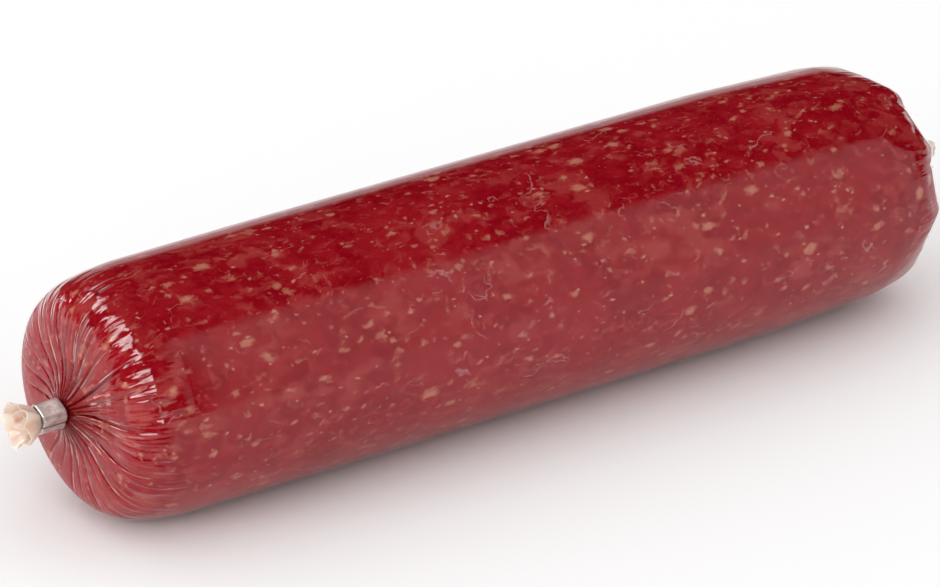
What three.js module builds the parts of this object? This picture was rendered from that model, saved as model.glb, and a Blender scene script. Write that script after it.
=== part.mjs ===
// A roll of minced sausage meat in a clear film casing, gathered and clipped shut at both ends.
// Millimetres, +Z up. The roll lies along X on its flattened underside, with its front clip
// towards -X. The origin is under the middle of the whole length, on the surface it lies on.
import * as THREE from 'three';

// Roll
const rollLength = 272;        // from one end face to the other, without the clips
const rollWidth = 72;
const rollHeight = 70;         // before its own weight flattens the underside
const footFlat = 2;            // how much of that height the flattened underside takes away
const frontTaper = 70;         // how far the roll narrows towards each end face
const rearTaper = 88;
const frontFullness = { round: 6.3, taper: 6.9 };   // superellipse exponents of each end
const rearFullness = { round: 4.9, taper: 5.75 };
const frontPeak = 3.3;         // the film is drawn out to the front clip
const rearDimple = 2;          // and pressed in by the rear one
const drawnRadius = 8;         // how far from the axis that is felt

// Film
const filmWall = 0.4;
const fillingGap = 0.4;        // between the film and the meat
const neckRadius = 2.1;        // the bunched film inside a clip
const neckBore = 0.8;          // the channel left in the middle of the bunch
const pleatCount = 22;
const pleatDepth = 0.5;
const tailRadius = 7.2;        // the film flares out again past the clip
const tailWall = 2.2;
const frontTail = 8.5;
const rearTail = 6.5;
const tailFolds = 8;
const tailFoldDepth = 0.12;    // a share of the radius

// Clips
const clipLength = 7.2;
const clipWall = 0.85;
const clipCorner = 2;
const clipClearance = 0.3;     // round the neck and before the tail
const clipSlit = 0.5;          // between the two ends of the bent band
const clipBevel = 0.25;
const seamTurn = THREE.MathUtils.degToRad(-66);

// Fineness
const segments = pleatCount * 2;
const flatShare = 0.55;        // the flat middle of an end face, as a share of its radius
const faceSteps = 3;
const shoulderSteps = 7;
const pleatSteps = 4;          // shoulder rings that the pleats run over

const halfWidth = rollWidth / 2;
const squeeze = rollHeight / rollWidth;
const axisHeight = rollHeight / 2 - footFlat;
const frontReach = frontPeak + clipLength + clipClearance + frontTail;
const rearReach = clipLength + clipClearance + rearTail;
const middle = (frontReach - rearReach) / 2;   // centres the whole length on the origin
const frontFace = middle - rollLength / 2;
const rearFace = middle + rollLength / 2;

const ends = {
  front: {
    face: frontFace, neck: frontFace - frontPeak, inward: 1, taper: frontTaper,
    fullness: frontFullness, dip: -frontPeak, tail: frontTail,
  },
  rear: {
    face: rearFace, neck: rearFace, inward: -1, taper: rearTaper,
    fullness: rearFullness, dip: rearDimple, tail: rearTail,
  },
};

function material(color, roughness, metalness) {
  return new THREE.MeshStandardMaterial({ color, roughness, metalness });
}

// How far behind the end face a surface of the given half width lies, at a radius.
function faceDepth(radius, half, end) {
  const share = Math.min(radius / half, 1);
  const rise = (1 - share ** end.fullness.round) ** (1 / end.fullness.taper);
  return end.taper * (1 - rise) + end.dip * Math.exp(-((radius / drawnRadius) ** 2));
}

// Profile points of one end from its middle out to the barrel, a distance inside the film's outer
// surface. Every surface has its rings in step, so that the pleats keep the gap between them.
function endProfile(end, inset, startRadius) {
  const half = halfWidth - inset;
  const flat = half * flatShare;
  const startAngle = Math.asin(flatShare ** (end.fullness.round / 2));
  const radii = [startRadius];
  for (let i = 1; i < faceSteps; i++) radii.push(flat * (i / faceSteps) ** 1.3);
  for (let i = 0; i <= shoulderSteps; i++) {
    const angle = startAngle + (Math.PI / 2 - startAngle) * (i / shoulderSteps);
    radii.push(half * Math.sin(angle) ** (2 / end.fullness.round));
  }
  return radii.map((radius, ring) => ({
    radius,
    x: end.face + end.inward * (inset + faceDepth(radius, half, end)),
    inset,
    end,
    gather: Math.sin(Math.PI * Math.min(ring / (faceSteps + pleatSteps), 1)),
  }));
}

// The flared film past the clip, and the neck inside it, from the rim in to the roll.
function tailProfile(end, inner) {
  const neck = inner ? neckBore : neckRadius;
  const rim = inner ? tailRadius - tailWall : tailRadius;
  const inset = inner ? filmWall : 0;
  const clipEnd = clipLength + clipClearance;
  const steps = [1, 0.66, 0.33, 0];
  const points = steps.map((share) => ({
    radius: neck + (rim - neck) * share ** 0.8,
    x: end.neck - end.inward * (clipEnd + end.tail * share),
    inset,
    end,
    fold: share,
  }));
  points.push({ radius: neck, x: end.neck, inset, end, fold: 0 });
  return points;
}

// Splits the turned quads into triangles. The film's inner surface runs back the other way, so its
// quads are cut across their other corners and both surfaces keep the same creases.
function creases(profile) {
  const index = [];
  for (let i = 0; i < segments; i++) {
    for (let j = 0; j < profile.length - 1; j++) {
      const a = j + i * profile.length;
      const b = a + profile.length;
      if (profile[j].inner) index.push(a, b, b + 1, b + 1, a + 1, a);
      else index.push(a, b, a + 1, b + 1, a + 1, b);
    }
  }
  return index;
}

// Turns a profile about X, flattens it to the roll's oval and its foot, and gathers the film.
function turned(profile) {
  const points = profile.map((point) => new THREE.Vector2(point.radius, point.x));
  const geometry = new THREE.LatheGeometry(points, segments);
  geometry.setIndex(creases(profile));
  geometry.rotateZ(-Math.PI / 2);
  const position = geometry.attributes.position;
  const vertex = new THREE.Vector3();
  for (let i = 0; i < position.count; i++) {
    const point = profile[i % profile.length];
    vertex.fromBufferAttribute(position, i);
    const turn = 2 * Math.PI * (Math.floor(i / profile.length) % segments) / segments;
    if (point.gather > 0) {
      const pleat = pleatDepth * point.gather * (1 + Math.cos(pleatCount * turn));
      vertex.x += point.end.inward * pleat;
    }
    if (point.fold > 0) {
      const fold = 1 + tailFoldDepth * point.fold * Math.cos(tailFolds * turn);
      vertex.y *= fold;
      vertex.z *= fold;
    }
    const oval = 1 + (squeeze - 1) * point.radius / halfWidth;
    vertex.z = Math.max(vertex.z * oval, point.inset - axisHeight);
    position.setXYZ(i, vertex.x, vertex.y, vertex.z + axisHeight);
  }
  geometry.computeVertexNormals();
  return geometry;
}

function meatFilling() {
  const inset = filmWall + fillingGap;
  const front = endProfile(ends.front, inset, 0);
  const rear = endProfile(ends.rear, inset, 0).reverse();
  return new THREE.Mesh(turned([...front, ...rear]), material(0x8f1a22, 0.45, 0));
}

function casing() {
  const outer = [
    ...tailProfile(ends.front, false), ...endProfile(ends.front, 0, neckRadius),
    ...endProfile(ends.rear, 0, neckRadius).reverse(), ...tailProfile(ends.rear, false).reverse(),
  ];
  const inner = [
    ...tailProfile(ends.front, true), ...endProfile(ends.front, filmWall, neckBore),
    ...endProfile(ends.rear, filmWall, neckBore).reverse(), ...tailProfile(ends.rear, true).reverse(),
  ].reverse().map((point) => ({ ...point, inner: true }));
  const loop = [...outer, ...inner, outer[0]];
  const film = material(0xd9b9ae, 0.12, 0);
  film.transparent = true;
  film.opacity = 0.35;
  return new THREE.Mesh(turned(loop), film);
}

// A square with round corners, walked from one lip of the slit to the other.
function bandPath(path, half, corner, forward) {
  const quarter = Math.PI / 2;
  const centre = half - corner;
  const corners = [[centre, -centre, -quarter], [centre, centre, 0],
    [-centre, centre, quarter], [-centre, -centre, 2 * quarter]];
  if (forward) {
    path.lineTo(clipSlit / 2, -half);
    for (const [x, y, start] of corners) path.absarc(x, y, corner, start, start + quarter, false);
    path.lineTo(-clipSlit / 2, -half);
  } else {
    path.lineTo(-clipSlit / 2, -half);
    for (const [x, y, start] of corners.reverse()) path.absarc(x, y, corner, start + quarter, start, true);
    path.lineTo(clipSlit / 2, -half);
  }
}

function clip(end) {
  const innerHalf = neckRadius + clipClearance + clipBevel;
  const outerHalf = innerHalf + clipWall;
  const band = new THREE.Shape();
  band.moveTo(clipSlit / 2, -outerHalf);
  bandPath(band, outerHalf, clipCorner, true);
  bandPath(band, innerHalf, clipCorner - clipWall, false);
  const geometry = new THREE.ExtrudeGeometry(band, {
    depth: clipLength - 2 * clipBevel, curveSegments: 3,
    bevelEnabled: true, bevelThickness: clipBevel, bevelSize: clipBevel,
    bevelOffset: -clipBevel, bevelSegments: 1,
  });
  geometry.translate(0, 0, clipBevel - clipLength / 2);
  geometry.rotateY(Math.PI / 2);
  const mesh = new THREE.Mesh(geometry, material(0xb9b7b8, 0.35, 1));
  mesh.rotation.x = seamTurn * end.inward;
  mesh.position.set(end.neck - end.inward * clipLength / 2, 0, axisHeight);
  return mesh;
}

function named(mesh, name) {
  mesh.name = name;
  return mesh;
}

const sausage = new THREE.Group();
sausage.add(named(meatFilling(), 'meat_filling'));
sausage.add(named(casing(), 'casing'));
sausage.add(named(clip(ends.front), 'front_clip'));
sausage.add(named(clip(ends.rear), 'rear_clip'));

export default sausage;
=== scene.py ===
import math

import bmesh
import bpy
import numpy as np
from mathutils import Matrix, Vector


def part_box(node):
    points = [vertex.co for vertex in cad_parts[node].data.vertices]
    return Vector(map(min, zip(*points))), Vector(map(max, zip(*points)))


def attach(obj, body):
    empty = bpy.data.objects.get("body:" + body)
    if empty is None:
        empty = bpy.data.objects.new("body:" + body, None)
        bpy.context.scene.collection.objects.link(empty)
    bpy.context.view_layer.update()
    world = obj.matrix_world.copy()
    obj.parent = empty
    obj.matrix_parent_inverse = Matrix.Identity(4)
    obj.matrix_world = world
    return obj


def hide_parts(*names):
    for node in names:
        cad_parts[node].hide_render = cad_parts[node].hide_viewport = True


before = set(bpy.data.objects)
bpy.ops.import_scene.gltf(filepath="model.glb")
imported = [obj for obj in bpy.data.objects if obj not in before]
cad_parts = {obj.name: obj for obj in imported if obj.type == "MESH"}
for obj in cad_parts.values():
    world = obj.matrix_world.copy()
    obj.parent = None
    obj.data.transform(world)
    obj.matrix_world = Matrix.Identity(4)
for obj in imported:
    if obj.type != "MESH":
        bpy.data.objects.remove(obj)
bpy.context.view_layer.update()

# A roll of minced sausage in clear film, clipped at both ends. Metres, along X, lying on z = 0.

mm = 0.001
filmLow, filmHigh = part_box("casing")
frontClipLow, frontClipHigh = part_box("front_clip")
rearClipLow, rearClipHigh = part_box("rear_clip")

roll = {
    "half": filmHigh.y,
    "top": filmHigh.z,
    "axis": (frontClipLow.z + frontClipHigh.z) / 2,
    "neck": 2.5 * mm,
    "turns": 400,              # faces round the roll
    "barrelRings": 5,
    "meatGap": 0.35 * mm,      # how far the meat's surface lies under the film's
    "drawnRadius": 8.0 * mm,   # how far from the axis the pull of a clip is felt
    "shoulder": 6,             # how sharply an end's creases turn from its face to the roll's side
}
roll["squeeze"] = (roll["top"] - roll["axis"]) / roll["half"]

# the two ends; side is 1 at the front, which looks along -X, and -1 at the rear. A dip below 0 stands
# proud. The end curves in over taper, by the powers round and fall. Its rings cover reach, measured
# over the surface. A tail runs from clipEnd to tip, where its radius is spread, and lean moves the tip
# across and up
ends = {
    1: {
        "neck": frontClipHigh.x, "dip": -3.3 * mm, "taper": 70 * mm, "round": 6.3, "fall": 6.9,
        "rings": 56, "reach": 50 * mm, "clipEnd": frontClipLow.x, "tip": filmLow.x + 1.6 * mm,
        "spread": 6.6 * mm, "lean": (0, 0),
    },
    -1: {
        "neck": rearClipLow.x, "dip": 2.0 * mm, "taper": 88 * mm, "round": 4.9, "fall": 5.75,
        "rings": 34, "reach": 46 * mm, "clipEnd": rearClipHigh.x, "tip": filmHigh.x - 1.0 * mm,
        "spread": 3.3 * mm, "lean": (-0.9 * mm, 2.5 * mm),
    },
}

for side, end in ends.items():
    end["face"] = end["neck"] - side * min(end["dip"], 0)   # where the end would be without its dip

rollMiddle = (ends[1]["face"] + ends[-1]["face"]) / 2
rollHalfLength = (ends[-1]["face"] - ends[1]["face"]) / 2

camera = {
    "turn": math.radians(34.61),
    "elevation": math.radians(25.6),
    "distance": 1.761,
    "lens": 247.4,
    "sensor": 36,
    "sees": (0.05, 30),                 # nearest and furthest
    "offset": (-7.4 * mm, -3.0 * mm),   # of the aim, across and up the view
}


def makeCamera(c):
    turn, elevation = c["turn"], c["elevation"]
    right = Vector((math.cos(turn), -math.sin(turn), 0))
    forward = Vector((math.sin(turn) * math.cos(elevation), math.cos(turn) * math.cos(elevation),
                      -math.sin(elevation)))
    up = right.cross(forward)
    aim = Vector((rollMiddle, 0, roll["axis"])) + right * c["offset"][0] + up * c["offset"][1]
    data = bpy.data.cameras.new("camera")
    data.lens = c["lens"]
    data.sensor_width = c["sensor"]
    data.clip_start, data.clip_end = c["sees"]
    shot = bpy.data.objects.new("camera", data)
    bpy.context.scene.collection.objects.link(shot)
    turned = Matrix((right, up, -forward)).transposed().to_4x4()
    shot.matrix_world = Matrix.Translation(aim - forward * c["distance"]) @ turned
    bpy.context.scene.camera = shot


makeCamera(camera)
print("camera ready")


class Wire:
    # a socket; arithmetic on it adds Math nodes
    def __init__(self, look, socket):
        self.look = look
        self.socket = socket

    def math(self, operation, *values):
        return self.look.node("Math", {"operation": operation}, *values)

    def __add__(self, other):
        return self.math("ADD", self, other)

    def __radd__(self, other):
        return self.math("ADD", other, self)

    def __sub__(self, other):
        return self.math("SUBTRACT", self, other)

    def __rsub__(self, other):
        return self.math("SUBTRACT", other, self)

    def __mul__(self, other):
        return self.math("MULTIPLY", self, other)

    def __rmul__(self, other):
        return self.math("MULTIPLY", other, self)

    def __abs__(self):
        return self.math("ABSOLUTE", self)


class Look:
    # one material and its nodes
    def __init__(self, name):
        self.material = bpy.data.materials.new(name)
        self.material.use_nodes = True
        self.tree = self.material.node_tree
        self.tree.nodes.clear()

    def node(self, kind, settings=None, *values, out=0, **named):
        # settings first, then the sockets, by place or by name with _ for a space
        made = self.tree.nodes.new("ShaderNode" + kind)
        for key, value in (settings or {}).items():
            setattr(made, key, value)
        sockets = [*enumerate(values), *((k.replace("_", " "), v) for k, v in named.items())]
        for key, value in sockets:
            if value is None:
                continue
            socket = made.inputs[key]
            if isinstance(value, Wire):
                self.tree.links.new(value.socket, socket)
            elif hasattr(value, "__len__") and len(value) < len(socket.default_value):
                socket.default_value = (*value, 1)
            else:
                socket.default_value = value
        return Wire(self, made.outputs[out]) if made.outputs else None

    def mixColor(self, mask, low, high):
        # sockets 1 to 5 belong to the Mix node's other data types
        return self.node("Mix", {"data_type": "RGBA"}, mask, None, None, None, None, None, low, high, out=2)

    def vector(self, operation, *values, **named):
        return self.node("VectorMath", {"operation": operation}, *values, **named)

    def step(self, value, start, stop):
        # smooth step from 0 at start to 1 at stop
        return self.node("MapRange", {"interpolation_type": "SMOOTHSTEP"}, value, start, stop, 0, 1)

    def noise(self, at, scale, detail=2.0, rough=0.5, bend=0.0, out="Fac"):
        return self.node("TexNoise", None, Vector=at, Scale=scale, Detail=detail, Roughness=rough,
                         Distortion=bend, out=out)

    def voronoi(self, at, scale, out):
        return self.node("TexVoronoi", None, Vector=at, Scale=scale, out=out)

    def bump(self, strength, distance, height):
        return self.node("Bump", None, Strength=strength, Distance=distance, Height=height)

    def share(self, name):
        return self.node("Attribute", {"attribute_name": name}, out="Fac")

    def point(self, scale=(1, 1, 1), turn=(0, 0, 0), place=(0, 0, 0)):
        # the object's own coordinates in millimetres
        here = self.node("TexCoord", out="Object")
        return self.node("Mapping", None, Vector=here, Scale=[s / mm for s in scale],
                         Rotation=turn, Location=place)

    def show(self, shader):
        self.node("OutputMaterial", None, Surface=shader)
        return self.material


# noise scales are per mm throughout
meatLook = {
    "deep": (0.210, 0.0018, 0.0070),
    "lean": (0.268, 0.0075, 0.0135),
    "pink": (0.335, 0.045, 0.042),
    "fat": (0.47, 0.195, 0.13),
    "paleFat": (0.57, 0.32, 0.235),
    "strand": (0.40, 0.19, 0.19),
    # the dark red of the painted shade in the creases
    "groove": (0.125, 0.0004, 0.002),
    "cloud": 0.045,            # the lean's two tones are mixed by a slow noise and a finer one
    "grain": 0.3,
    # flecks are drawn out a little along the roll, the way the filling was pushed, and lie askew
    "stretch": (0.7, 1.1, 1.1),
    "askew": (0.3, 0.15, 0.25),
    "sway": 0.22,              # the noise that bends them, and how far it bends smears and lumps, in mm
    "smearSway": 4.5,
    "lumpSway": 3.0,
    # smears of fat: noise scale, threshold, softness of the edge, strength, tint
    "smears": (
        (0.15, 0.545, 0.100, 0.50, "pink"),
        (0.33, 0.575, 0.090, 0.48, "pink"),
        (0.30, 0.645, 0.090, 0.40, "fat"),
        (0.62, 0.720, 0.050, 0.38, "paleFat"),
        (1.15, 0.755, 0.040, 0.55, "paleFat"),
    ),
    # lumps of fat: cells per mm, largest size and the size taken off it in cells, edge, strength, tint
    "lumps": (
        (0.10, 0.68, 0.16, 0.28, 0.80, "pink"),
        (0.21, 0.68, 0.17, 0.28, 0.84, "fat"),
        (0.31, 0.70, 0.23, 0.27, 0.84, "fat"),
        (0.52, 0.76, 0.34, 0.24, 0.66, "paleFat"),
    ),
    "ragged": 0.5,             # how uneven a lump's edge is, in cells
    # pale strands: noise scale, scale of the patches that have them, half width in the noise's own
    # values, strength
    "strands": (0.095, 0.13, 0.0125, 0.6),
    "paintedGrooveShade": 0.85,       # how far the bottom of a crease is darkened by painted shade
    "rough": 0.6,
}


def meatMaterial(c):
    look = Look("mincedMeat")
    here = look.point()
    drawn = look.point(scale=c["stretch"], turn=c["askew"])
    sway = look.vector("SUBTRACT", look.noise(here, c["sway"], 2.5, 0.55, out="Color"), (0.5, 0.5, 0.5))
    bent = look.vector("ADD", drawn, look.vector("SCALE", sway, Scale=c["smearSway"]))
    dented = look.vector("ADD", drawn, look.vector("SCALE", sway, Scale=c["lumpSway"]))

    cloud = look.noise(here, c["cloud"], 4.0, 0.6)
    grain = look.noise(bent, c["grain"], 4.0, 0.62)
    color = look.mixColor(look.step(cloud * 0.5 + grain * 0.5, 0.40, 0.60), c["deep"], c["lean"])

    # each layer is moved aside, so that no two layers share a pattern
    for i, (scale, level, soft, strength, tint) in enumerate(c["smears"]):
        shifted = look.vector("ADD", bent, (37.0 * i, 11.0 * i, 23.0 * i))
        shape = look.noise(shifted, scale, 2.2, 0.5, 0.5)
        # some bits press against the film and are crisp, others lie deeper and are faint
        depth = look.noise(shifted, scale * 0.45, 0.0, 0.5)
        mask = look.step(shape, level - soft * 0.5, level + soft)
        mask = mask * look.step(depth, 0.28, 0.62) * strength
        color = look.mixColor(mask, color, c[tint])

    for i, (scale, size, less, soft, strength, tint) in enumerate(c["lumps"]):
        shifted = look.vector("ADD", dented, (19.0 * i, 41.0 * i, 7.0 * i))
        gap = look.voronoi(shifted, scale, "Distance")
        chance = look.voronoi(shifted, scale, "Color")
        uneven = look.noise(shifted, scale * 4, 1.5, 0.6)
        gap = gap + (uneven - 0.5) * c["ragged"]
        mask = look.step(chance * size - less - gap, 0.0, soft) * (uneven + 0.35) * strength
        color = look.mixColor(mask, color, c[tint])

    # a strand lies where the noise crosses its middle value
    scale, patches, half, strength = c["strands"]
    line = look.noise(bent, scale, 1.6, 0.45, 0.6)
    where = look.noise(bent, patches, 1.0)
    thin = look.step(abs(line - 0.5), half, 0.002) * look.step(where, 0.58, 0.68)
    color = look.mixColor(thin * strength, color, c["strand"])

    # painted shade: the meat is darkened towards the groove colour along its creases
    paintedShade = look.step(look.share("crease"), 0.12, 0.85) * c["paintedGrooveShade"]
    color = look.mixColor(paintedShade, color, c["groove"])
    bump = look.bump(0.25, 0.25 * mm, look.noise(here, 0.6, 2.0))
    return look.show(look.node("BsdfPrincipled", None, Base_Color=color, Roughness=c["rough"],
                               Specular_IOR_Level=0.0, Normal=bump))


filmLook = {
    "clear": (1, 0.985, 0.98),
    "bunched": (0.70, 0.51, 0.39),
    "stained": (0.70, 0.34, 0.23),
    "pale": (0.84, 0.73, 0.61),
    "gloss": 0.07,
    "ior": 1.45,
    "streaks": 17.0,           # wrinkles to a radian round the ends
    "drift": (0.09, 0.05, 0.05),   # and how they change along the roll and across it, to the mm
    "wrinkle": 2.0,            # heights in mm of the wrinkles and of the slow ripple everywhere
    "ripple": 0.09,
    "paintedGlossShade": 0.85,            # the share of its gloss that the bottom of a groove loses, a painted shade on its reflection
}


def wrinkled(look, c, here):
    # the film's bump: fine radial wrinkles round the ends, in patches, and a slow ripple all over
    around = look.vector("NORMALIZE", look.vector("MULTIPLY", here, (0, 1, 1)))
    streaked = look.vector("SCALE", around, Scale=c["streaks"])
    streaked = look.vector("MULTIPLY_ADD", here, c["drift"], streaked)
    busy = look.step(look.noise(here, 0.09, 1.0), 0.36, 0.62)
    wrinkle = look.noise(streaked, 1.0, 1.0, 0.45) * look.share("gather") * (busy * 0.8 + 0.2)
    ripple = look.noise(look.point(scale=(0.3, 1, 1)), 0.12, 2.0)
    return look.bump(1.0, 1.0 * mm, wrinkle * c["wrinkle"] + ripple * c["ripple"])


def filmMaterial(c, name, outside):
    # the inner wall lies wet against the meat, so only the outer one mirrors
    look = Look(name)
    here = look.point(place=(0, 0, -roll["axis"] / mm))
    clear = look.node("BsdfTransparent", None, Color=c["clear"])
    film = clear
    if outside:
        bump = wrinkled(look, c, here)
        gloss = look.node("BsdfGlossy", None, Color=(1, 1, 1), Roughness=c["gloss"], Normal=bump)
        mirror = look.node("Fresnel", None, IOR=c["ior"], Normal=bump)
        front = 1 - look.node("NewGeometry", out="Backfacing")
        # painted shade: the film's reflection is turned down in the bottom of a groove
        paintedGlossShade = look.step(look.share("crease"), 0.42, 0.95)
        film = look.node("MixShader", None, mirror * front * (1 - paintedGlossShade * c["paintedGlossShade"]), clear, gloss)
    stain = look.noise(here, 0.3, 3.0)
    tint = look.mixColor(look.step(stain, 0.42, 0.62), c["bunched"], c["stained"])
    tint = look.mixColor(look.share("pale"), tint, c["pale"])
    crinkle = look.noise(look.point(scale=(0.3, 1.2, 1.2)), 0.9, 2.0, 0.5)
    folded = look.node("BsdfPrincipled", None, Base_Color=tint, Roughness=0.4,
                       Normal=look.bump(0.5, 0.3 * mm, crinkle), Subsurface_Weight=0.35,
                       Subsurface_Radius=(2 * mm, 1.3 * mm, 0.9 * mm), Subsurface_Scale=1.0)
    return look.show(look.node("MixShader", None, look.share("bunch"), film, folded))


foldLook = {
    "tint": (0.76, 0.27, 0.24),
    "pale": (0.92, 0.68, 0.63),
    "patches": 0.16,
    "opacity": (0.06, 0.66),   # least and most
    "rough": 0.18,
    "ior": 1.5,
}


def foldMaterial(c):
    # where the film is doubled over it turns milky and catches the light
    look = Look("foldedFilm")
    patch = look.noise(look.point(), c["patches"], 2.0)
    color = look.mixColor(look.step(patch, 0.46, 0.6), c["tint"], c["pale"])
    least, most = c["opacity"]
    alpha = look.step(patch, 0.42, 0.6) * (most - least) + least
    return look.show(look.node("BsdfPrincipled", None, Base_Color=color, Roughness=c["rough"],
                               IOR=c["ior"], Alpha=alpha, Specular_IOR_Level=0.8))


clipLook = {
    "dull": (0.52, 0.46, 0.435),
    "bright": (0.77, 0.715, 0.685),
    "stretch": (0.4, 2.2, 2.2),    # the streaks run along the clip
    "streak": 1.1,
    "cloud": 0.5,
    "metallic": 0.75,
    "rough": 0.3,
}


def clipMaterial(c):
    look = Look("clipAluminium")
    streak = look.noise(look.point(scale=c["stretch"]), c["streak"], 5.0, 0.7)
    cloud = look.noise(look.point(), c["cloud"], 3.0)
    color = look.mixColor(look.step(cloud * 0.5 + streak * 0.5, 0.38, 0.6), c["dull"], c["bright"])
    bump = look.bump(0.6, 0.15 * mm, streak * 0.25 + cloud)
    return look.show(look.node("BsdfPrincipled", None, Base_Color=color, Metallic=c["metallic"],
                               Roughness=c["rough"] + streak * 0.15, Normal=bump))


looks = {
    "meat": meatMaterial(meatLook),
    "film": filmMaterial(filmLook, "clearFilm", True),
    "filmInside": filmMaterial(filmLook, "clearFilmInside", False),
    "fold": foldMaterial(foldLook),
    "clip": clipMaterial(clipLook),
}
print("materials ready")


def faceDepth(radius, end):
    # how far the end's surface lies inside its face at a distance from the axis
    share = np.minimum(radius / roll["half"], 1)
    rise = (1 - share ** end["round"]) ** (1 / end["fall"])
    dip = end["dip"] * np.exp(-(radius / roll["drawnRadius"]) ** 2)
    return end["taper"] * (1 - rise) + dip


def radiusAt(depth, end):
    # the other way about, for places well clear of the dip
    left = max(1 - depth / end["taper"], 0)
    return roll["half"] * (1 - left ** end["fall"]) ** (1 / end["round"])


def measureEnd(end, split=0.3, steps=4000):
    # depth and radius against the distance over the surface from the axis. The radius goes up in even
    # steps to split of its full size, and from there in steps that shorten towards the rim
    outer = roll["half"] * np.sin(np.linspace(0, math.pi / 2, steps)) ** (2 / end["round"])
    inner = np.linspace(0, roll["half"] * split, steps // 10)
    radius = np.concatenate([inner, outer[outer > inner[-1]]])
    depth = faceDepth(radius, end)
    end["along"] = np.concatenate([[0], np.cumsum(np.hypot(np.diff(radius), np.diff(depth)))])
    end["depths"] = depth
    end["radii"] = radius


def endAt(end, along):
    # depth inside the face, and radius, at distances over the surface from the axis
    return np.interp(along, end["along"], end["depths"]), np.interp(along, end["along"], end["radii"])


for end in ends.values():
    measureEnd(end)


def bodyOutline():
    # rows of x, radius, side and distance over the surface from the axis; side is 0 on the barrel
    rows = {}
    for side, end in ends.items():
        at = np.linspace(0, end["reach"], end["rings"]) + roll["neck"]
        rows[side] = [(end["face"] + side * d, r, side, s) for d, r, s in zip(*endAt(end, at), at)]
    front, rear = rows[1], rows[-1][::-1]
    barrel = []
    first, last = front[-1][0], rear[0][0]
    for i in range(roll["barrelRings"]):
        x = first + (last - first) * (i + 1) / (roll["barrelRings"] + 1)
        radius = min(radiusAt((x - end["face"]) * side, end) for side, end in ends.items())
        barrel.append((x, radius, 0, 0))
    return front + barrel + rear


tail = {
    "rings": 13,
    "rearRings": 7,            # on the rear tail's outermost film
    "flare": 0.62,             # below 1, a tail widens soonest at its clip
    # ruffles: depth, number round the tail, start, drift towards the tip, share of the layer's turn
    "waves": ((0.55, 5, 0, 1.2, 1.0), (0.35, 8, 0, 0, 2.1), (0.10, 13, 0.7, 0, 3.3)),
    "swell": (0.08, 0.13),     # how much of the waves shows at the clip, and what the tip adds
    "squash": 0.12,            # how oval the tip is
    "ragged": ((0.55, 3, 1.3, 0, 1.0), (0.30, 8, 0, 0, 1.0), (0.12, 17, 0, 0, 0)),
    "raggedLength": 0.9 * mm,
    "pale": (0.3, 0.5, 0.35),  # how pale the film is, and what the waves and the tip add
    "innerPale": 0.25,         # how much less pale the inner layers are
    # the layers bunched inside a tail: turn, size, and how much shorter than the outermost film
    "layers": {
        1: ((1.9, 0.62, 2.2 * mm), (4.4, 0.30, 3.2 * mm)),
        -1: ((1.9, 0.70, 0.5 * mm), (3.5, 0.35, 0.3 * mm)),
    },
}


def tailOutline(end, side, rings):
    # from the tip of the tail in to the neck; side is doubled, and the last value runs from 1 to 0
    length = abs(end["tip"] - end["clipEnd"])
    rows = []
    for i in range(rings + 1):
        t = 1 - i / rings
        radius = roll["neck"] + (end["spread"] - roll["neck"]) * t ** tail["flare"]
        rows.append((end["clipEnd"] - side * length * t, radius, side * 2, t))
    for t in (0.3, 0.7):
        rows.append((end["clipEnd"] + (end["neck"] - end["clipEnd"]) * t, roll["neck"], side * 2, 0.0))
    return rows


def waved(waves, angle, along, turn):
    return sum(depth * np.cos(count * angle + start + drift * along + share * turn)
               for depth, count, start, drift, share in waves)


def ruffled(points, along, side, turn):
    # bunches a tail: deep ruffles that grow towards its ragged tip; pale where a ruffle stands out
    angle = np.arctan2(points[:, 2], points[:, 1])
    waves = waved(tail["waves"], angle, along, turn)
    swell = 1 + waves * (tail["swell"][0] + tail["swell"][1] * along)
    squash = 1 + tail["squash"] * along * np.cos(2 * angle + 0.8)
    ragged = waved(tail["ragged"], angle, along, turn) + 1.05   # never below 0
    moved = points.copy()
    moved[:, 1:] *= (swell * squash)[:, None]
    moved[:, 1:] += np.array(ends[side]["lean"]) * along[:, None] ** 1.5
    moved[:, 0] += side * tail["raggedLength"] * ragged * along ** 2
    base, ridge, tip = tail["pale"]
    return moved, np.clip(base + waves * ridge + along * tip, 0, 1)


# the creases that run out from each clip: direction in degrees, length over the surface in mm and depth
# in mm; 0 is along +Y and 90 is up
creases = {
    1: (
        (-3, 22, 1.3), (14, 25, 1.0), (29, 21, 1.2), (47, 28, 1.3), (62, 23, 1.0), (75, 33, 1.5),
        (86, 20, 0.9), (98, 38, 1.4), (109, 29, 1.7), (121, 33, 0.9), (137, 39, 1.6), (150, 35, 1.0),
        (160, 24, 0.9), (168, 37, 1.6), (179, 27, 1.3), (188, 22, 0.8), (198, 36, 1.6), (209, 20, 1.1),
        (221, 32, 1.7), (233, 23, 1.0), (246, 29, 1.5), (259, 24, 1.2), (272, 28, 1.4), (286, 21, 1.0),
        (301, 27, 1.4), (317, 22, 1.0), (337, 26, 1.3),
    ),
    -1: (
        (8, 30, 1.4), (31, 24, 1.1), (52, 38, 1.8), (74, 27, 1.2), (95, 33, 1.4), (117, 40, 2.0),
        (139, 26, 1.3), (158, 36, 1.7), (181, 30, 1.3), (203, 40, 2.0), (226, 27, 1.2), (247, 34, 1.6),
        (270, 25, 1.2), (292, 37, 1.7), (314, 28, 1.2), (338, 33, 1.5),
    ),
}
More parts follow.
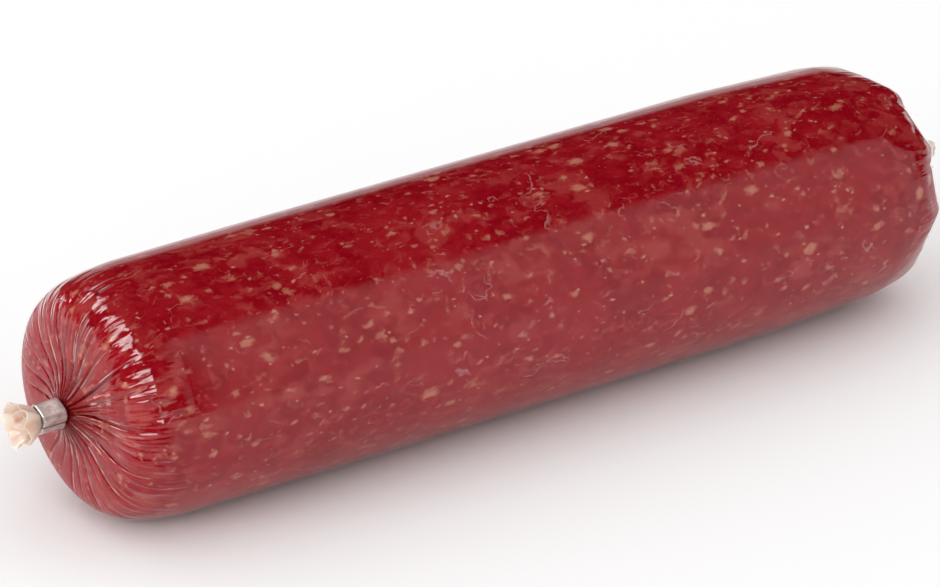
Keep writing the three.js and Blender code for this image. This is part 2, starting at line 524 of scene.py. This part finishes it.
gathering = {
    "seeds": {1: 7, -1: 23},
    "longWidth": (0.28, 0.42),      # widths are shares of the spacing of the long creases
    "fine": {1: 11, -1: 10},        # short creases between the long ones
    "fineScatter": 0.35,            # of their spacing
    "fineLength": (7 * mm, 17 * mm),
    "fineDepth": (0.25 * mm, 0.6 * mm),
    "fineWidth": (0.18, 0.3),
    "sway": 0.045,                  # how far a crease wanders, in radians, and how often
    "swayTurn": 3.2,
    "leastWidth": 0.3 * mm,
    "narrows": (1.05, 0.75),        # a crease's width at the neck, and what is gone from it at the tip
    "fade": 0.55,                   # below 1, a crease keeps its depth until near its tip
    "groove": 0.82,                 # a long crease is a groove in the middle of a shallow hollow, so
    "hollow": 0.35,                 # the film is puffed up between creases
    "hollowReach": 0.75,            # of the spacing
    "hollowCurve": 1.6,
    "fullDepth": 11 * mm,           # radius from which a crease has its whole depth
    "neckDepth": 0.22,              # the share it has at the neck
    "shadeLines": ((0.55, 0.8 * mm), (0.45, 2.4 * mm)),   # of the painted shade line in a crease: strength, width
    "fineShadeLine": 0.45,
}


def gather(side):
    # one list of creases for an end, long ones first
    g = gathering
    draw = np.random.default_rng(g["seeds"][side])
    rows = []
    for angle, length, depth in creases[side]:
        rows.append({"angle": math.radians(angle), "length": length * mm, "depth": depth * mm,
                     "width": draw.uniform(*g["longWidth"]), "phase": draw.uniform(0, 6), "long": True})
    count = g["fine"][side]
    for i in range(count):
        angle = 2 * math.pi * (i + draw.uniform(-g["fineScatter"], g["fineScatter"])) / count
        rows.append({"angle": angle, "length": draw.uniform(*g["fineLength"]),
                     "depth": draw.uniform(*g["fineDepth"]), "width": draw.uniform(*g["fineWidth"]),
                     "phase": draw.uniform(0, 6), "long": False})
    return rows


gathered = {side: gather(side) for side in ends}


def creaseAngle(crease, along):
    t = along / crease["length"]
    return crease["angle"] + gathering["sway"] * np.sin(gathering["swayTurn"] * t + crease["phase"]) * t


def pulledIn(side, angle, radius, along):
    # how far the creases draw the surface inwards, and how much painted shade each place gets along its
    # creases, 0 to 1
    g = gathering
    pull = np.zeros_like(angle)
    creaseShade = np.zeros_like(angle)
    spacing = 2 * math.pi / len(creases[side])
    near = np.clip(radius / g["fullDepth"], g["neckDepth"], 1)
    for crease in gathered[side]:
        t = along / crease["length"]
        gap = np.abs((angle - creaseAngle(crease, along) + math.pi) % (2 * math.pi) - math.pi)
        aside = gap * radius
        wide = np.maximum(spacing * radius * crease["width"], g["leastWidth"])
        wide = wide * (g["narrows"][0] - g["narrows"][1] * np.clip(t, 0, 1))
        fade = np.clip(1 - t, 0, 1) ** g["fade"]
        valley = np.clip(1 - aside / wide, 0, 1) ** 2 * fade
        if crease["long"]:
            hollow = np.clip(1 - gap / (g["hollowReach"] * spacing), 0, 1) ** g["hollowCurve"] * fade
            valley = g["groove"] * valley + g["hollow"] * hollow
        pull = np.maximum(pull, crease["depth"] * near * valley)
        # the painted shade line down a crease, weaker beside the fine creases
        line = sum(strength * np.exp(-aside / width) for strength, width in g["shadeLines"]) * fade
        creaseShade = np.maximum(creaseShade, line * (1 if crease["long"] else g["fineShadeLine"]))
    return pull, creaseShade


def within(along, start, full, fade, stop):
    # 0 up to start, 1 from full to fade, and 0 again from stop
    return np.clip((along - start) / (full - start), 0, 1) * np.clip((stop - along) / (stop - fade), 0, 1)


# spans are distances over the surface from the axis
rearFlats = {"count": 9, "turn": 0.25, "sag": 1.9 * mm, "span": (10 * mm, 24 * mm, 34 * mm, 46 * mm)}
farBulge = {"height": 1.1 * mm, "toward": 0.3, "span": (8 * mm, 20 * mm, 32 * mm, 42 * mm)}


def facets(c, angle, along):
    # the rear end is drawn up into flats with fuller ridges between them
    each = 2 * math.pi / c["count"]
    t = (angle + c["turn"]) % each / each
    return c["sag"] * (4 * t * (1 - t) - 0.5) * within(along, *c["span"])


def bulge(c, angle, along):
    # the front end is fuller on its far side
    return c["height"] * np.exp(-(angle - c["toward"]) ** 2) * within(along, *c["span"])


def drawnIn(side, points, along, lift=0, tight=1):
    # moves points on an end: inwards where it is creased, outwards by lift; tight is the share of a
    # crease's depth that is taken up. On the face a point moves along the roll, and on the roll's side
    # towards the axis
    angle = np.arctan2(points[:, 2], points[:, 1])
    radius = np.hypot(points[:, 1], points[:, 2])
    pull, creaseShade = pulledIn(side, angle, radius, along)
    move = pull * tight - lift
    if side == 1:
        move = move - bulge(farBulge, angle, along)
    else:
        move = move + facets(rearFlats, angle, along)
    tilt = np.clip(radius / roll["half"], 0, 1) ** roll["shoulder"]
    shrink = 1 - move * tilt / np.maximum(radius, 0.1 * mm)
    moved = np.column_stack([points[:, 0] + side * move * (1 - tilt),
                             points[:, 1] * shrink, points[:, 2] * shrink])
    return moved, creaseShade


def settled(points, lowest):
    # presses the round section to the roll's oval and flat foot, and lifts it onto the floor
    points = points.copy()
    oval = 1 + (roll["squeeze"] - 1) * np.hypot(points[:, 1], points[:, 2]) / roll["half"]
    points[:, 2] = np.maximum(points[:, 2] * oval, lowest - roll["axis"]) + roll["axis"]
    return points


def finished(bm, name):
    mesh = bpy.data.meshes.new(name)
    bm.to_mesh(mesh)
    bm.free()
    mesh.shade_smooth()
    return mesh


def spun(outline, name):
    bm = bmesh.new()
    row = bm.verts.layers.int.new("row")
    last = None
    for i, (x, radius, _, _) in enumerate(outline):
        vert = bm.verts.new((x, 0, radius))
        vert[row] = i
        if last:
            bm.edges.new((last, vert))
        last = vert
    bmesh.ops.spin(bm, geom=bm.verts[:] + bm.edges[:], cent=(0, 0, 0), axis=(1, 0, 0), dvec=(0, 0, 0),
                   angle=2 * math.pi, steps=roll["turns"], use_merge=True, use_duplicate=False)
    bmesh.ops.remove_doubles(bm, verts=bm.verts[:], dist=0.001 * mm)
    bmesh.ops.recalc_face_normals(bm, faces=bm.faces[:])
    # an open tube gives that operator no inside to go by
    outward = sum(f.normal.dot(Vector((0, *f.calc_center_median().yz))) for f in bm.faces)
    if outward < 0:
        bmesh.ops.reverse_faces(bm, faces=bm.faces[:])
    return finished(bm, name)


def coordinates(mesh):
    co = np.empty(len(mesh.vertices) * 3)
    mesh.vertices.foreach_get("co", co)
    return co.reshape(-1, 3)


def outlineOf(mesh, outline):
    # the side and the distance along of every vertex
    rows = np.empty(len(mesh.vertices), dtype=np.int32)
    mesh.attributes["row"].data.foreach_get("value", rows)
    table = np.array(outline)
    return table[rows, 2], table[rows, 3]


def addShare(mesh, name, values):
    mesh.attributes.new(name, "FLOAT", "POINT").data.foreach_set("value", values.astype(np.float32))


def shaped(mesh, points, lowest):
    mesh.vertices.foreach_set("co", settled(points, lowest).ravel())
    mesh.update()


def place(mesh, name, material, node, slotName):
    piece = bpy.data.objects.new(name, mesh)
    bpy.context.scene.collection.objects.link(piece)
    mesh.materials.append(material)
    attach(piece, "root")
    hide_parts(node)
    return piece


film = {
    "wall": 0.1 * mm,
    "foot": 0.02 * mm,         # lowest point
    "tight": 0.7,              # the film bridges the rest of a crease's depth
    "puckered": (20 * mm, 30 * mm, 37 * mm, 46 * mm),   # a span over the surface from the axis
    "puckerTop": math.radians(125),     # where it is strongest, and its strength at the rear end
    "puckerRear": 0.45,
}


def puckers(points, along, side):
    # most over the top of the front shoulder; the film lies smoother elsewhere
    angle = np.arctan2(points[:, 2], points[:, 1])
    share = np.clip(0.55 + 0.6 * np.cos(angle - film["puckerTop"]), 0.2, 1)
    return within(along, *film["puckered"]) * share * (1 if side == 1 else film["puckerRear"])


def addWall(piece):
    wall = piece.modifiers.new("wall", "SOLIDIFY")
    wall.thickness = film["wall"]
    wall.offset = -1
    return wall


def makeFilm():
    # the whole tube, from one tail's tip to the other's, with an outer and an inner wall
    outline = (tailOutline(ends[1], 1, tail["rings"]) + bodyOutline()
               + tailOutline(ends[-1], -1, tail["rearRings"])[::-1])
    mesh = spun(outline, "film_casing")
    points = coordinates(mesh)
    side, along = outlineOf(mesh, outline)
    shares = {name: np.zeros(len(points)) for name in ("bunch", "gather", "pale", "crease")}
    for sign in ends:
        here = side == sign
        # the crease share also says where the film's gloss gets painted shade
        points[here], shares["crease"][here] = drawnIn(sign, points[here], along[here], tight=film["tight"])
        shares["gather"][here] = puckers(points[here], along[here], sign)
        here = side == sign * 2
        points[here], shares["pale"][here] = ruffled(points[here], along[here], sign, 0.0)
        shares["bunch"][here] = 1.0
    shaped(mesh, points, film["foot"])
    for name, values in shares.items():
        addShare(mesh, name, values)
    piece = place(mesh, "film_casing", looks["film"], "casing", "film")
    mesh.materials.append(looks["filmInside"])
    addWall(piece).material_offset = 1
    return piece


def makeRuffles(name, side):
    # the inner layers of film bunched inside a tail
    joined = bmesh.new()
    for turn, size, shorter in tail["layers"][side]:
        outline = tailOutline(ends[side], side, tail["rings"])[:-2]
        mesh = spun(outline, name)
        points = coordinates(mesh)
        along = outlineOf(mesh, outline)[1]
        points, pale = ruffled(points, along, side, turn)
        points[:, 1:] *= size
        points[:, 0] += side * shorter * along
        shaped(mesh, points, film["foot"])
        addShare(mesh, "pale", np.clip(pale - tail["innerPale"], 0, 1))
        addShare(mesh, "bunch", np.ones(len(points)))
        joined.from_mesh(mesh)
        bpy.data.meshes.remove(mesh)
    piece = place(finished(joined, name), name, looks["filmInside"], "casing", "film")
    addWall(piece)
    return piece


folds = {
    "seed": 41,
    "points": 26,
    "chance": {True: 0.75, False: 0.15},       # of a fold beside a long crease and beside a fine one
    "start": (0.12, 0.35),                     # where a fold starts and stops, as shares of its crease
    "stop": (0.86, 0.98),
    "thickness": (0.05 * mm, 0.12 * mm),
    "lift": 0.06 * mm,
    "aside": (0.35 * mm, 0.5 * mm),            # how far a fold starts from its crease, and how it strays
    # a shorter, thinner one on the crease's other side; the rest are shares of the first
    "second": {"chance": 0.15, "aside": 1.4, "size": 0.8, "start": 0.35, "stop": (0.7, 1.0)},
    "loops": {98: 1.7 * mm, 150: 1.3 * mm},    # front creases that end in a flattened loop, and its width
    "loopSize": 0.8,                           # of the greatest thickness
}


def surfaceLine(side, angle, along):
    # the points of a line a little above an end's finished surface
    end = ends[side]
    depth, radius = endAt(end, along)
    flat = np.column_stack([end["face"] + side * depth, radius * np.cos(angle), radius * np.sin(angle)])
    return settled(drawnIn(side, flat, along, folds["lift"], film["tight"])[0], 0.1 * mm)


def loopLine(c, side, crease, width):
    # out on one side of the crease, round the tip and back on the other
    swing = np.linspace(-1, 1, 2 * c["points"])
    along = roll["neck"] + (1 - np.abs(swing) ** 2.6 * 0.75) * (crease["length"] - roll["neck"])
    radius = endAt(ends[side], along)[1]
    aside = width * 0.5 * np.sin(swing * math.pi / 2) * (along / crease["length"]) ** 1.5 / radius
    return surfaceLine(side, creaseAngle(crease, along) + aside, along)


def addLine(curve, points, sizes):
    spline = curve.splines.new("POLY")
    spline.points.add(len(points) - 1)
    for spot, at, size in zip(spline.points, points, sizes):
        spot.co = (*at, 1)
        spot.radius = size


def addFold(c, draw, curve, side, crease):
    # a doubled edge of the film that stands up beside a crease
    if draw.random() > c["chance"][crease["long"]]:
        return
    t = np.linspace(draw.uniform(*c["start"]), draw.uniform(*c["stop"]), c["points"])
    along = roll["neck"] + t * (crease["length"] - roll["neck"])
    radius = endAt(ends[side], along)[1]
    # full in the middle and thin at both ends
    sizes = draw.uniform(*c["thickness"]) * (0.35 + 0.65 * np.sin(math.pi * t ** 0.8) ** 0.6)
    width = c["loops"].get(round(math.degrees(crease["angle"])) if side == 1 else None)
    if width:
        points = loopLine(c, side, crease, width)
        addLine(curve, points, np.full(len(points), c["thickness"][1] * c["loopSize"]))
        return
    aside = draw.choice([-1, 1]) * (c["aside"][0] + c["aside"][1] * t) / radius
    addLine(curve, surfaceLine(side, creaseAngle(crease, along) + aside, along), sizes)
    second = c["second"]
    if crease["long"] and draw.random() < second["chance"]:
        part = slice(int(c["points"] * second["start"]), int(c["points"] * draw.uniform(*second["stop"])))
        points = surfaceLine(side, creaseAngle(crease, along) - aside * second["aside"], along)
        addLine(curve, points[part], sizes[part] * second["size"])


def makeFolds(c):
    draw = np.random.default_rng(c["seed"])
    curve = bpy.data.curves.new("film_folds", "CURVE")
    curve.dimensions = "3D"
    curve.bevel_depth = 1.0
    curve.bevel_resolution = 1
    curve.use_fill_caps = True
    for side in ends:
        for crease in gathered[side]:
            addFold(c, draw, curve, side, crease)
    lines = bpy.data.objects.new("film_folds_lines", curve)
    mesh = bpy.data.meshes.new_from_object(lines)
    mesh.name = "film_folds"
    bpy.data.objects.remove(lines)
    bpy.data.curves.remove(curve)
    mesh.materials.clear()
    mesh.shade_smooth()
    return place(mesh, "film_folds", looks["fold"], "casing", "film")


def makeMeat():
    # one closed solid a little inside the film, pressed into its creases to their whole depth
    outline = bodyOutline()
    first, last = outline[0], outline[-1]
    outline = [(first[0], 0.0, 1, 0.0)] + outline + [(last[0], 0.0, -1, 0.0)]
    mesh = spun(outline, "minced_meat")
    points = coordinates(mesh)
    side, along = outlineOf(mesh, outline)
    gap = roll["meatGap"]
    shadeLines = np.zeros(len(points))
    for sign in ends:
        here = side == sign
        points[here], shadeLines[here] = drawnIn(sign, points[here], along[here])
    points[:, 0] = rollMiddle + (points[:, 0] - rollMiddle) * (1 - gap / rollHalfLength)
    points[:, 1:] *= 1 - gap / roll["half"]
    shaped(mesh, points, gap + film["foot"])
    # the crease share is where the meat gets its painted shade
    addShare(mesh, "crease", shadeLines)
    return place(mesh, "minced_meat", looks["meat"], "meat_filling", "meat")


clip = {
    "wall": 0.85 * mm,
    "bore": 2.65 * mm,         # half the width of the opening
    "corner": 2.0 * mm,
    "cornerSteps": 5,
    "slit": 0.5 * mm,
    "sharp": math.radians(50),     # edges that bend more than this are bevelled
    "edge": 0.22 * mm,
    "edgeSteps": 2,
    "cuts": 10,                # along the clip
    "turn": math.radians(-66),     # about the roll's axis; the slit starts underneath
}


def makeClip(name, node, low, high, side):
    c = clip
    outer = c["bore"] + c["wall"]
    straight = outer - c["corner"]
    length = high.x - low.x
    bm = bmesh.new()
    lip = [bm.verts.new((0, c["slit"] / 2, -r)) for r in (c["bore"], outer)]
    edges = [bm.edges.new(lip)]

    def pushed(edges, move):
        made = bmesh.ops.extrude_edge_only(bm, edges=edges)["geom"]
        verts = [g for g in made if isinstance(g, bmesh.types.BMVert)]
        bmesh.ops.translate(bm, verts=verts, vec=move)
        return [g for g in made if isinstance(g, bmesh.types.BMEdge) and all(v in verts for v in g.verts)]

    def bent(edges, centre):
        made = bmesh.ops.spin(bm, geom=edges, cent=centre, axis=(1, 0, 0), dvec=(0, 0, 0),
                              angle=math.pi / 2, steps=c["cornerSteps"])["geom_last"]
        return [g for g in made if isinstance(g, bmesh.types.BMEdge)]

    # the band, bent round its four corners from one lip of the slit to the other
    edges = pushed(edges, (0, straight - c["slit"] / 2, 0))
    way = Vector((0, 0, 1))
    centre = Vector((0, straight, -straight))
    for i in range(4):
        edges = bent(edges, centre)
        edges = pushed(edges, way * (2 * straight if i < 3 else straight - c["slit"] / 2))
        centre = centre + way * 2 * straight
        way = Vector((0, -way.z, way.y))
    bmesh.ops.remove_doubles(bm, verts=bm.verts[:], dist=0.01 * mm)
    made = bmesh.ops.extrude_face_region(bm, geom=bm.faces[:])["geom"]
    verts = [g for g in made if isinstance(g, bmesh.types.BMVert)]
    bmesh.ops.translate(bm, verts=verts, vec=(length, 0, 0))
    bmesh.ops.recalc_face_normals(bm, faces=bm.faces[:])
    sharp = [e for e in bm.edges if e.is_manifold and e.calc_face_angle(0) > c["sharp"]]
    bmesh.ops.bevel(bm, geom=sharp, affect="EDGES", offset=c["edge"], segments=c["edgeSteps"],
                    profile=0.5, material=-1, clamp_overlap=True)
    lengthwise = [e for e in bm.edges if abs(e.verts[0].co.x - e.verts[1].co.x) > length / 2]
    bmesh.ops.subdivide_edges(bm, edges=lengthwise, cuts=c["cuts"], use_grid_fill=True)
    leaned = Matrix.Rotation(c["turn"] * side, 3, "X")
    bmesh.ops.rotate(bm, verts=bm.verts[:], cent=(0, 0, 0), matrix=leaned)
    bmesh.ops.translate(bm, verts=bm.verts[:], vec=(low.x, 0, roll["axis"]))
    return place(finished(bm, name), name, looks["clip"], node, "clip_metal")


makeMeat()
print("meat ready")
makeFilm()
makeRuffles("front_tail_ruffles", 1)
makeRuffles("rear_tail_ruffles", -1)
makeFolds(folds)
print("film ready")
makeClip("front_band", "front_clip", frontClipLow, frontClipHigh, 1)
makeClip("rear_band", "rear_clip", rearClipLow, rearClipHigh, -1)
print("clips ready")

# the light and the sky don't show in the film's gloss, and the cards show nowhere else; soft is the
# faded share of a card's width and height
studio = {
    "paper": (0.93, 0.93, 0.93),
    "floorSize": 12,
    "sky": 1.0,
    "lights": {
        "leftLight": {"spot": (-2.0, -0.15, 0.5), "aim": (-0.1, 0, 0.03), "size": (1.2, 1.2),
                      "radiance": 4.4},
    },
    "cards": {
        "frontCard": {"spot": (0.75, -0.6, 0.45), "aim": (0.75, 0, 0.45), "size": (1.5, 2.3),
                      "radiance": 0.85, "soft": (0.17, 0.3), "upright": (0, 0, 1)},
        "backCard": {"spot": (1.3, 1.6, 0.1), "aim": (1.3, 0, 0.1), "size": (2.2, 0.8),
                     "radiance": 0.6, "soft": (0.1, 0.35), "upright": (0, 0, 1)},
        "leftStrip": {"spot": (-0.62, 0, 0.98), "aim": (-0.13, 0, 0.04), "size": (0.62, 2.2),
                      "radiance": 11.0, "soft": (0.3, 0.1), "upright": (0, 1, 0)},
    },
}


def planeMesh(name, size, material):
    bm = bmesh.new()
    bmesh.ops.create_grid(bm, x_segments=1, y_segments=1, size=0.5)
    bmesh.ops.scale(bm, verts=bm.verts[:], vec=(*size, 1))
    mesh = bpy.data.meshes.new(name)
    bm.to_mesh(mesh)
    bm.free()
    mesh.materials.append(material)
    piece = bpy.data.objects.new(name, mesh)
    bpy.context.scene.collection.objects.link(piece)
    return piece


def makeFloor(c):
    look = Look("floorPaper")
    paper = look.node("BsdfPrincipled", None, Base_Color=c["paper"], Roughness=0.9, Specular_IOR_Level=0.0)
    planeMesh("floor", (c["floorSize"], c["floorSize"]), look.show(paper))


def facing(piece, spot, aim, upright=(0, 0, 1)):
    # turns a piece's -Z towards the aim, with its own Y as near upright as can be
    back = (Vector(spot) - Vector(aim)).normalized()
    across = Vector(upright).cross(back).normalized()
    turned = Matrix((across, back.cross(across), back)).transposed().to_4x4()
    piece.matrix_world = Matrix.Translation(spot) @ turned


def softLight(name, c):
    data = bpy.data.lights.new(name, "AREA")
    data.shape = "RECTANGLE"
    data.size, data.size_y = c["size"]
    data.energy = c["radiance"] * math.pi * c["size"][0] * c["size"][1]
    light = bpy.data.objects.new(name, data)
    bpy.context.scene.collection.objects.link(light)
    facing(light, c["spot"], c["aim"])
    light.visible_camera = False
    light.visible_glossy = False


def whiteCard(name, c):
    look = Look(name)
    here = look.node("TexCoord", out="Object")
    glow = c["radiance"]
    for axis in (0, 1):
        across = abs(look.node("SeparateXYZ", None, here, out=axis)) * (2 / c["size"][axis])
        glow = look.step(across, 1.0, 1 - 2 * c["soft"][axis]) * glow
    card = planeMesh(name, c["size"], look.show(look.node("Emission", None, (1, 1, 1), glow)))
    facing(card, c["spot"], c["aim"], c["upright"])
    card.visible_camera = card.visible_diffuse = card.visible_shadow = False
    card.visible_transmission = False


def makeSky(c):
    # white all round, but not in the film's gloss
    world = bpy.data.worlds.new("studio")
    bpy.context.scene.world = world
    world.use_nodes = True
    background = world.node_tree.nodes["Background"]
    background.inputs["Color"].default_value = (1, 1, 1, 1)
    background.inputs["Strength"].default_value = c["sky"]
    world.cycles_visibility.glossy = False


makeSky(studio)
makeFloor(studio)
for name, values in studio["lights"].items():
    softLight(name, values)
for name, values in studio["cards"].items():
    whiteCard(name, values)
bpy.context.scene.view_settings.view_transform = "Standard"
print("studio ready")
